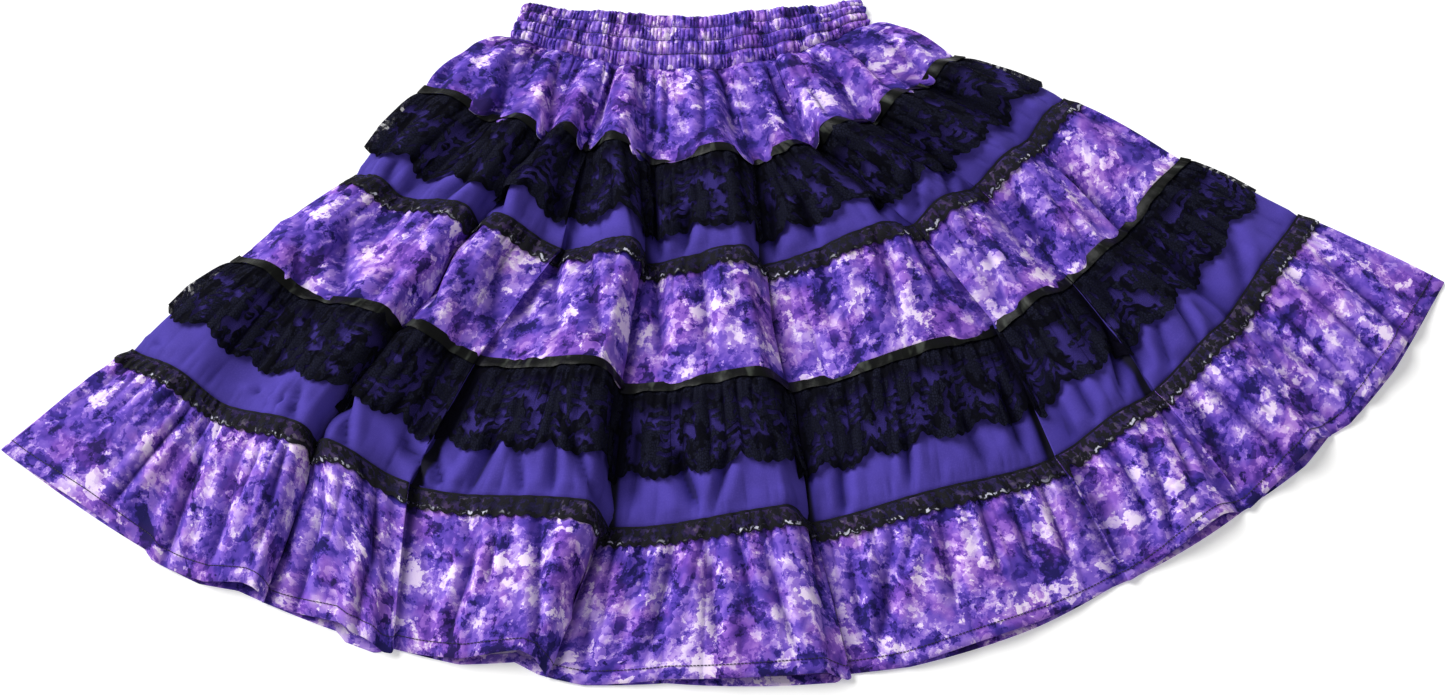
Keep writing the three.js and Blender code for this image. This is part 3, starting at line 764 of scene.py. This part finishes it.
def valley_shade(seam, share, down):
    """Painted shade of the main valleys: a narrow line under each lap, deeper where it laps more."""
    dark = np.zeros_like(share)
    for away, laps, _ in main_valleys(seam, share, down):
        off = away - VALLEY_OFF
        narrow = np.exp(-(off / np.where(off > 0, VALLEY_SOFT, VALLEY_HARD)) ** 2)
        dark = np.maximum(dark, np.clip(laps / VALLEY_FULL, 0, 1) * narrow)
    creased = np.clip(-crease_height(seam, share, down) / CREASE_DARK, 0, 1)
    crease_shade = PLAIN_CREASE_SHADE if seam in (SEAM_1, SEAM_3) else PRINT_CREASE_SHADE
    return np.maximum(VALLEY_DARK[seam] * dark, crease_shade * creased)


def ease(x):
    x = np.clip(x, 0, 1)
    return x * x * (3 - 2 * x)


def panel_share(seam, column, down):
    """Share of the line round the panel that each point lies at."""
    top_share, bottom_share = fold_at(seam, column)[0], fold_at(seam + 1, column)[0]
    return top_share + (bottom_share - top_share) * down


def tier_rise(seam, column, along, down):
    """How far a tier's gathers and creases stand out from its plain folds."""
    layers, seed, deepened, edge_lift = TIER_GATHERS[seam]
    length = panel_length(seam)
    below = (down * length).clip(0)
    rise = deepened * crease_height(seam, panel_share(seam, column, down), down)
    held = HELD_AT_SEAM + (1 - HELD_AT_SEAM) * ease(below / HELD_LENGTH)
    for number, (spacing, height, reach) in enumerate(layers):
        rise = rise + held * gathers(along, below, spacing, height, reach, seed + 20 * number)
    if seam != SEAM_4:
        near_edge = ease(1 - (length - below) / EDGE_LENGTH)
        rise = rise * (1 - EDGE_FLATTENED * near_edge) + edge_lift * near_edge
    if seam in (SEAM_1, SEAM_3):
        above = (length - below).clip(0)
        for number, (spacing, height, reach) in enumerate(PINCHES):
            pinch = gathers(along, above, spacing, height, reach, seed + 60 + 20 * number)
            rise = rise + pinch * ease((above - PINCH_CLEAR) / PINCH_START)
    return rise


HEM_LINE = (
    # share of the hem, and how many millimetres below its plain curve the edge hangs there
    (0.00, 5), (0.11, 8), (0.118, 13), (0.150, 12), (0.172, 3), (0.236, 3), (0.243, 9), (0.262, 10),
    (0.270, 2), (0.31, 1), (0.341, -10), (0.356, -3), (0.382, 1), (0.43, -5), (0.528, 3), (0.533, -3),
    (0.57, -1), (0.65, -8), (0.70, -15), (0.80, -8), (0.845, 0), (0.870, -2), (0.885, 5), (0.93, 8), (1.0, 4),
)


def let_down(grid, drop, down, power):
    """The grid with its lower edge drawn down by drop at each column, and less and less above it."""
    downward = grid[-1] - grid[0]
    downward /= np.linalg.norm(downward, axis=-1, keepdims=True)
    return grid + downward * (drop * down[:, None] ** power)[..., None]


def hemmed(grid, share, down):
    """The lowest tier with its edge let down or drawn up, each fold of the hem a little differently."""
    return let_down(grid, np.interp(share[-1], *zip(*HEM_LINE)) / 1000, down, 2.5)


OVERHANG = {BAND_SEAM: 0.0125, SEAM_2: 0.0060}
OVERHANG_LIFT = 0.58
OVERHANG_POWER = 4
OVERHANG_WAVES = 0.0022


def overhang(seam, column):
    """How far the lower edge hangs over the ribbon: most near the valleys, and not at all on the ridges."""
    ridge = np.sin(np.pi * (column % 1)) ** 2
    inner = ease((np.minimum(column, len(FOLDS) - column) - 0.3) / 0.5)
    swag = ease(2.1 - 2.4 * ridge) * (0.25 + 0.75 * ease(ridge / 0.30))
    uneven = 0.7 + 0.3 * noise(column * 5, 41 + seam)
    return OVERHANG[seam] * swag * inner * uneven + OVERHANG_WAVES * noise(column * 9, 47 + seam) * inner


def tier_front(seam, count, rows):
    """Grid of a tier's front, the cloth's length to its columns, its rows' places and its valleys' painted
    shade.
    """
    column, along = front_columns(seam, count)
    down = np.linspace(0, 1, rows) ** 1.2
    plain = panel_points(seam, column, down[:, None], TIER_PUFF)
    grid = plain + squares(plain) * tier_rise(seam, column, along[None, :], down[:, None])[..., None]
    share = panel_share(seam, column, down[:, None])
    if seam == SEAM_4:
        grid = hemmed(grid, share, down)
    if seam in OVERHANG:
        drop = overhang(seam, column)
        grid = let_down(grid, drop, down, OVERHANG_POWER)
        grid[..., 2] += OVERHANG_LIFT * drop * down[:, None] ** OVERHANG_POWER
    every_down = np.broadcast_to(down[:, None], share.shape)
    grid = lapped(grid, plain, seam, share, every_down)
    grid[..., 2] = np.maximum(grid[..., 2], HEM_FRONT_LEVEL + CLEAR_OF_TABLE)
    return grid, along, down, valley_shade(seam, share, every_down)


SHOULDERS = {
    # How far a tier's left and right side bow out between its seams, in metres.
    BAND_SEAM: (0.011, 0.010),
    SEAM_1: (0.003, 0.005),
    SEAM_2: (0.004, 0.004),
    SEAM_3: (0.003, 0.003),
    SEAM_4: (0.003, 0.003),
}
SHOULDER_REACH = 0.12


def drawn_out(grid, seam, rows, from_left, from_right, sizes):
    """The grid with its left and right side drawn outwards, by a share for each row, and less further in."""
    for side, inwards, size in ((0, from_left, sizes[0]), (1, from_right, sizes[1])):
        near = size * np.clip(1 - inwards, 0, 1) ** 1.5
        grid = grid + (rows[:, None] * near)[..., None] * outward_at(seam, side)
    return grid


def shouldered(grid, seam, shares, down):
    bow = np.sin(np.pi * down) ** 0.8
    return drawn_out(grid, seam, bow, shares / SHOULDER_REACH, (1 - shares) / SHOULDER_REACH, SHOULDERS[seam])


TURN_THICKNESS = 0.0011
BACK_TURN_THICKNESS = -0.0006


def turned_under(grid, depth, drop):
    """Rows added below a panel's lower edge that turn under it."""
    last, before = grid[-1], grid[-3]
    back = before - last
    back /= np.linalg.norm(back, axis=-1, keepdims=True)
    square = squares(grid[-3:])[-1]
    edge = last - back * drop * 0.4 - square * drop * 0.5
    under = last + back * depth * 0.3 - square * drop
    end = last + back * depth - square * drop
    return np.concatenate([grid, edge[None], under[None], end[None]])


LOW = 0.0005
RAISED = 0.0014
BACK_LEVELS = {
    # How high a tier's back lies at shares of the way down it: raised where it lies on another piece.
    BAND_SEAM: ((0, LOW), (0.84, LOW), (0.97, RAISED), (1, RAISED)),
    SEAM_1: ((0, RAISED), (1, RAISED)),
    SEAM_2: ((0, RAISED), (0.2, RAISED), (0.32, LOW), (0.88, LOW), (0.97, RAISED), (1, RAISED)),
    SEAM_3: ((0, RAISED), (1, RAISED)),
    SEAM_4: ((0, RAISED), (0.17, RAISED), (0.28, LOW), (1, LOW)),
}
BACK_GATHERS = (0.012, 0.0009, 0.040)
TURN_DEPTH = 0.004
HEM_DEPTH = 0.008
fronts = {}


def tier(number, count, rows, material, tone=0.0):
    """One tier as a ring of cloth, gathered to the seam above it and turned under at its lower edge."""
    seam = BAND_SEAM + number - 1
    name = f"tier{number}"
    turn = HEM_DEPTH if seam == SEAM_4 else TURN_DEPTH
    front, along, down, valleys = tier_front(seam, count, rows)
    front = fronts[name] = shouldered(front, seam, along / along[-1], down)
    shares = np.linspace(0, 1, count // BACK_COARSENESS)
    back = flat_back(seam, shares, down[:, None], np.interp(down, *zip(*BACK_LEVELS[seam])))
    below = (down * panel_length(seam))[:, None]
    back_length = shares * SEAM_LINES[seam][1][-1]
    back[..., 2] += gathers(back_length[None, :], below, *BACK_GATHERS, TIER_GATHERS[seam][1] + 7)
    back = shouldered(back, seam, shares, down)
    if seam == SEAM_4:
        back = hemmed(back, np.broadcast_to(shares, back.shape[:2]), down)
    front_turned = turned_under(front, turn, TURN_THICKNESS)
    back_turned = turned_under(back, turn, BACK_TURN_THICKNESS)
    turned_measure = panel_length(seam) + np.array((0.001, 0.003, turn))
    measure = np.concatenate([down * panel_length(seam), turned_measure])[:, None]
    edge_rows = 0 if seam == SEAM_4 else 2
    return ring(name, front_turned, back_turned, seam, SIDE_BULGE, 1.0, measure, material,
                edge_rows=edge_rows, valleys=valleys, tone=tone)


# The last number shifts each tier's print: darker on tier 1 as painted shade, a little paler on 3 and 5.
tier1 = tier(1, 560, 26, printed_cotton, -0.055)
tier3 = tier(3, 900, 26, printed_cotton, 0.01)
tier5 = tier(5, 1200, 30, printed_cotton, 0.025)

# Hem stitching
# One row of dark thread round the front of the skirt, eight millimetres up from the edge of the hem,
# where it holds the turned cloth down. Its stitches are the waistband's, in slightly thicker thread.

HEM_STITCH_ROW = -3
HEM_THREAD = 0.0008
hem_line = fronts["tier5"][HEM_STITCH_ROW].copy()
hem_line[:, 2] += STITCH_THICKNESS * 0.8
hem_stitching = stitch_rows("hem_stitching", [hem_line], HEM_THREAD)

# Tiers 2 and 4
# Strips of plain purple cotton between the printed ones. Most of each is under its lace ruffle, and
# what shows below is smooth, with soft pinched creases where the next tier pulls at it.

purple_cotton, tree, shader = new_material("purple cotton", roughness=0.9, specular=0.25)
place = cloth_place(tree)
tone = blend(tree, step(tree, cloudy(tree, place, 25.0, 5.0), 0.3, 0.7), colour("41348f"), colour("4b3da2"))
slubs = step(tree, cloudy(tree, place, 700.0, 3.0), 0.4, 0.8)
tone = blend(tree, maths(tree, "MULTIPLY", slubs, 0.3), tone, colour("5e4fb2"))
shaded(tree, shader, tone, 0.7)
weave_bump(tree, shader)

tier2 = tier(2, 700, 26, purple_cotton)
tier4 = tier(4, 1050, 28, purple_cotton)

# Lace ruffles
# Black floral lace on fine net, gathered under a ribbon over tiers 2 and 4. Its heading is dense, its
# flowers and leaves thin out downwards so that the purple shows through the net, and its lower edge is
# bound in deep scallops. It reaches a little past the side folds.

LACE_WIDTH = 0.076
RIBBON_WIDTH = 0.0095
RIBBON_LAP = 0.003
RUFFLE_ROWS = 26
RUFFLE_LIFT = 0.0010
RUFFLE_FULLNESS = 1.5
LACE_TAKEN_UP = 1.15
LAYER_CLEARANCE = 0.001
SCALLOP_WIDTH = 0.046
SCALLOP_DEPTH = 0.012
PICOT_WIDTH = 0.013
PICOT_DEPTH = 0.0028
RUFFLE_REACH = {SEAM_1: (0.007, 0.004), SEAM_3: (0.010, 0.005)}

# Spacing and height of its waves in metres, and for the fine ones how far down they fade out.
RUFFLE_WAVES = (0.030, 0.0050)
SMALL_WAVES = (0.013, 0.0028)
BACK_WAVES = (0.016, 0.0006)
HEADING_GATHERS = (0.0060, 0.0022, 0.030)

black_lace, tree, shader = new_material("black lace", roughness=0.9, specular=0.05)
measure = cloth_place(tree)
shape = frayed_place(tree, 0.004, 0.0009)
height = add(tree, "SeparateXYZ", {0: measure}).outputs["Y"]


def rosettes(tree, place, size, petals, radius, petal_depth):
    """Flowers scattered one to a cell, each with its own turn: 1 on a flower and 0 off it."""
    cell = add(tree, "TexVoronoi", {"Vector": place, "Scale": 1 / size, "Randomness": 0.75},
               voronoi_dimensions="2D")
    scaled = vector(tree, "SCALE", place, 1 / size)
    middle = vector(tree, "SCALE", cell.outputs["Position"], 1 / size)
    arm = add(tree, "SeparateXYZ", {0: vector(tree, "SUBTRACT", scaled, middle)})
    angle = maths(tree, "ARCTAN2", arm.outputs["Y"], arm.outputs["X"])
    turn = maths(tree, "MULTIPLY", add(tree, "SeparateColor", {0: cell.outputs["Color"]}).outputs[0], 6.28)
    wave = maths(tree, "COSINE", maths(tree, "MULTIPLY_ADD", angle, petals, turn))
    edge = maths(tree, "MULTIPLY_ADD", wave, petal_depth, radius)
    return step(tree, maths(tree, "SUBTRACT", edge, cell.outputs["Distance"]), -0.03, 0.03)


def cell_edges(tree, place, scale):
    """Distance to the nearest edge between the cells of a fine uneven net."""
    return add(tree, "TexVoronoi", {"Vector": place, "Scale": scale}, voronoi_dimensions="2D",
               feature="DISTANCE_TO_EDGE").outputs["Distance"]


flowers = rosettes(tree, shape, 0.030, 5, 0.36, 0.10)
leaves = rosettes(tree, vector(tree, "ADD", shape, (0.31, 0.17, 0)), 0.016, 3, 0.26, 0.12)
work = maths(tree, "MAXIMUM", flowers, leaves)
open_net = patches(tree, shape, 50, 2.3, 1.5, 0.475, 0.505)
ladder = add(tree, "TexWave", {"Vector": shape, "Scale": 42.0, "Distortion": 2.5, "Detail": 1.0},
             bands_direction="Y").outputs["Fac"]
ladder_patches = patches(tree, shape, 30, 4.9, 1.0, 0.54, 0.60)
rungs = maths(tree, "MULTIPLY", step(tree, ladder, 0.45, 0.65), ladder_patches)
holes = maths(tree, "MAXIMUM", maths(tree, "MULTIPLY", open_net, maths(tree, "SUBTRACT", 1.0, work)), rungs)
above_edge = step(tree, height, 0.0055, 0.0085)
below_heading = step(tree, height, 0.068, 0.046)
holes = maths(tree, "MULTIPLY", holes, maths(tree, "MULTIPLY", above_edge, below_heading))
net = step(tree, cell_edges(tree, measure, 620.0), 0.22, 0.06)
net_cover = maths(tree, "MULTIPLY_ADD", net, 0.28, 0.26)
thin = cloudy(tree, shape, 260.0, 3.0)
work_cover = maths(tree, "MULTIPLY_ADD", step(tree, thin, 0.30, 0.55), 0.10, 0.89)
cover = add(tree, "Mix", {0: holes, 2: work_cover, 3: net_cover}, data_type="FLOAT").outputs[0]
# Painted shade: in deep creases and valleys the net is filled in nearly solid, and so shows dark.
valley_shade_cover = step(tree, attribute(tree, "hollow_shade"), 0.35, 0.9)
cover = maths(tree, "MULTIPLY_ADD", valley_shade_cover, maths(tree, "SUBTRACT", 0.97, cover), cover)
tree.links.new(cover, shader.inputs["Alpha"])
dense = maths(tree, "SUBTRACT", 1.0, holes)
# Painted highlight: the raised threads of flowers and leaves are painted lighter, and raised in the bump.
raised = maths(tree, "MULTIPLY", work, step(tree, cell_edges(tree, shape, 1 / 0.0024), 0.03, 0.16))
tone = blend(tree, holes, blend(tree, raised, colour("07070f"), colour("1a1b2b")), colour("1b1638"))
shaded(tree, shader, tone, 0.9)
relief = maths(tree, "MULTIPLY_ADD", thin, 0.5, maths(tree, "MULTIPLY_ADD", raised, 0.7, dense))
bumped(tree, shader, relief, 0.9, 0.0008)


def layer_front(seam, count, down, lift):
    """Grid that lies on a tier's front, gathers and all, and stands out from it by lift at each point."""
    column, along = front_columns(seam, count)
    down = np.broadcast_to(down, (len(down), count))
    plain = panel_points(seam, column, down, TIER_PUFF)
    rise = tier_rise(seam, column, along[None, :], down) + lift(along[None, :], down)
    grid = plain + squares(plain) * rise[..., None]
    share = panel_share(seam, column, down)
    grid = lapped(grid, plain, seam, share, down)
    grid[..., 2] = np.maximum(grid[..., 2], FRONT_LEVEL + LAYER_CLEARANCE)
    return grid, column, valley_shade(seam, share, down)


def scalloped(full, seed):
    """How far the lace's edge reaches past its width: deep uneven scallops with picots along them."""
    wander = full + 0.012 * noise(full / 0.05, seed)
    scallop = np.abs(np.sin(np.pi * wander / (RUFFLE_FULLNESS * SCALLOP_WIDTH))) ** 0.8 - 0.5
    picot = np.abs(np.sin(np.pi * wander / PICOT_WIDTH)) - 0.6
    return SCALLOP_DEPTH * scallop + PICOT_DEPTH * picot


def ruffle(number, seam, count, seed):
    """A ring of lace under its ribbon, wavier and wavier towards its scalloped edge."""
    name = f"lace_ruffle{number}"
    length = panel_length(seam)
    along = front_columns(seam, count)[1]
    top = (RIBBON_WIDTH - RIBBON_LAP) / length
    scallop = scalloped(along * RUFFLE_FULLNESS, seed + 1)
    part = np.linspace(0, 1, RUFFLE_ROWS)[:, None]

    def lift(along, down):
        below = (down * length - RIBBON_WIDTH).clip(0)
        flare = np.clip(below / LACE_WIDTH, 0, 1)
        waves = gathers(along, 0 * below, *RUFFLE_WAVES, 1, seed) * flare
        small = gathers(along, 0 * below, *SMALL_WAVES, 1, seed + 5) * ease(flare * 6)
        fine = gathers(along, below, *HEADING_GATHERS, seed + 9) * ease(flare * 12)
        return RUFFLE_LIFT + waves + small + fine

    end = (RIBBON_WIDTH + LACE_WIDTH + scallop) / length
    front, column, valleys = layer_front(seam, count, top + (end - top) * part, lift)
    out = np.interp(part[:, 0], (0, 0.3, 0.65, 1), (0, 0.6, 1, 0.8))
    front = drawn_out(front, seam, out, column / 0.5, (len(FOLDS) - column) / 0.5, RUFFLE_REACH[seam])
    shares = np.linspace(0, 1, count // BACK_COARSENESS)
    back_end = np.interp(shares, np.linspace(0, 1, count), end)
    back_down = top + (back_end - top) * part
    back = flat_back(seam, shares, back_down, BACK_LEVEL)
    back[..., 2] += gathers(shares * SEAM_LINES[seam][1][-1], 0 * back_down, *BACK_WAVES, 1, seed + 3)
    back = drawn_out(back, seam, out, shares / 0.04, (1 - shares) / 0.04, RUFFLE_REACH[seam])
    piece = ring(name, front, back, seam, SIDE_BULGE + LAYER_CLEARANCE, LACE_TAKEN_UP,
                 LACE_WIDTH * (1 - part), black_lace, valleys=valleys)
    return piece


lace_ruffle1 = ruffle(1, SEAM_1, 760, 610)
lace_ruffle2 = ruffle(2, SEAM_3, 1100, 640)

# Ribbons
# Black satin ribbon stitched over the heading of each lace ruffle. The gathers under it make it ripple so
# that its gloss catches the light, and short grey glints and a faint lengthwise sheen are painted on too.

SATIN_WIDTH = 0.0115
STRIP_GATHERS = (0.014, 0.0016)
STRIP_CROWN = 0.0003
STRIP_TAKEN_UP = 1.1
STRIP_BACK_START = 0.0004
STRIP_BACK_LEVEL = 0.0003
RIPPLE_WIDTH = 0.011
RIPPLE_DEPTH = 0.0034

black_satin, tree, shader = new_material("black satin", roughness=0.36, specular=0.11)
place = cloth_place(tree)
# Painted sheen in faint grey-green lengthwise streaks and painted grey glints; both drive the bump too.
rib_and_sheen = cloudy(tree, vector(tree, "MULTIPLY", place, (1, 12, 1)), 180.0)
glints = cloudy(tree, vector(tree, "MULTIPLY", place, (1, 0.4, 1)), 75.0)
tone = blend(tree, rib_and_sheen, colour("040405"), colour("0f110f"))
tone = blend(tree, step(tree, glints, 0.54, 0.68), tone, colour("373b35"))
shaded(tree, shader, tone, 0.9)
bumped(tree, shader, maths(tree, "MULTIPLY_ADD", glints, 5.0, rib_and_sheen), 0.6, 0.0003)


def evened(grid, reach):
    """The grid with each point moved to the middle of its neighbours along the strip."""
    count = grid.shape[1]
    near = [np.clip(np.arange(count) + shift, 0, count - 1) for shift in range(-reach, reach + 1)]
    middle = sum(grid[:, index] for index in near) / len(near)
    held = np.clip(np.minimum(np.arange(count), np.arange(count)[::-1]) / max(reach, 1), 0, 1)[None, :, None]
    return grid + (middle - grid) * held


def strip(name, seam, count, rows, seed, material, start, width, lift, even, bulge, edge):
    """A ribbon or narrow trimming sewn round the top of a tier, rippled by the gathers below it."""
    length = panel_length(seam)
    along = front_columns(seam, count)[1]
    part = np.linspace(0, 1, rows)[:, None]

    def ripple(along, down):
        broad = gathers(along, 0 * down, *STRIP_GATHERS, 1, seed)
        return lift + broad + STRIP_CROWN * np.sin(np.pi * (down * length - start) / width).clip(0)

    down = (start + (width + edge(along)) * part) / length
    front, _, valleys = layer_front(seam, count, down, ripple)
    shares = np.linspace(0, 1, count // BACK_COARSENESS)
    back_down = (STRIP_BACK_START + (width + edge(shares * along[-1])) * part) / length
    back = flat_back(seam, shares, back_down, STRIP_BACK_LEVEL)
    return ring(name, evened(front, even), back, seam, bulge, STRIP_TAKEN_UP, width * (1 - part),
                material, valleys=valleys)


def rippled_edge(along):
    return -RIPPLE_DEPTH * noise(along / RIPPLE_WIDTH, 731) ** 1.5


for number, seam, count, around in ((1, SEAM_1, 640, 1.10), (2, SEAM_3, 1000, 1.85)):
    ribbon = strip(f"ribbon{number}", seam, count, 7, 700 + number, black_satin, start=0.0006,
                   width=SATIN_WIDTH, lift=0.0026, even=5, bulge=SIDE_BULGE + 0.002, edge=rippled_edge)

# Narrow lace trims
# Close-worked black lace over the tops of tiers 3 and 5, straight above and finely scalloped below, with a
# pale thread worked through its lower edge, its glints painted into the colour as light grey flecks.

TRIM_WIDTH = 0.019
TRIM_SCALLOP = 0.0105
TRIM_SCALLOP_DEPTH = 0.0032

trim_lace, tree, shader = new_material("narrow black lace", roughness=0.85, specular=0.2)
measure = cloth_place(tree)
shape = frayed_place(tree, 0.002, 0.0008)
height = add(tree, "SeparateXYZ", {0: measure}).outputs["Y"]
flowers = rosettes(tree, shape, 0.0085, 4, 0.42, 0.12)
bands = maths(tree, "MAXIMUM", step(tree, height, 0.0040, 0.0030), step(tree, height, 0.0165, 0.0172))
dense = maths(tree, "MAXIMUM", flowers, bands)
tree.links.new(maths(tree, "MULTIPLY_ADD", dense, 0.30, 0.68), shader.inputs["Alpha"])
# Painted glints: light grey flecks in dashes along a narrow band just above the lower edge.
near_edge = maths(tree, "MULTIPLY", step(tree, height, 0.0044, 0.0034), step(tree, height, 0.0008, 0.0018))
fleck = step(tree, cloudy(tree, measure, 240.0, 3.0), 0.50, 0.60)
stretch = step(tree, cloudy(tree, measure, 26.0, 1.0), 0.46, 0.58)
glint = maths(tree, "MULTIPLY", near_edge, maths(tree, "MULTIPLY", fleck, stretch))
tone = blend(tree, dense, colour("1c1a30"), colour("0e0d15"))
shaded(tree, shader, blend(tree, glint, tone, colour("c4c4d4")), 0.9)
bumped(tree, shader, maths(tree, "ADD", dense, cloudy(tree, measure, 900.0)), 0.7, 0.0005)


def small_scallops(along):
    return TRIM_SCALLOP_DEPTH * (np.abs(np.sin(np.pi * along / TRIM_SCALLOP)) - 0.6)


for number, seam, count, around in ((1, SEAM_2, 820, 1.45), (2, SEAM_4, 1200, 2.30)):
    trim = strip(f"trim{number}", seam, count, 10, 800 + number, trim_lace, start=-0.0020,
                 width=TRIM_WIDTH, lift=0.0014, even=1, bulge=SIDE_BULGE + 0.0012, edge=small_scallops)
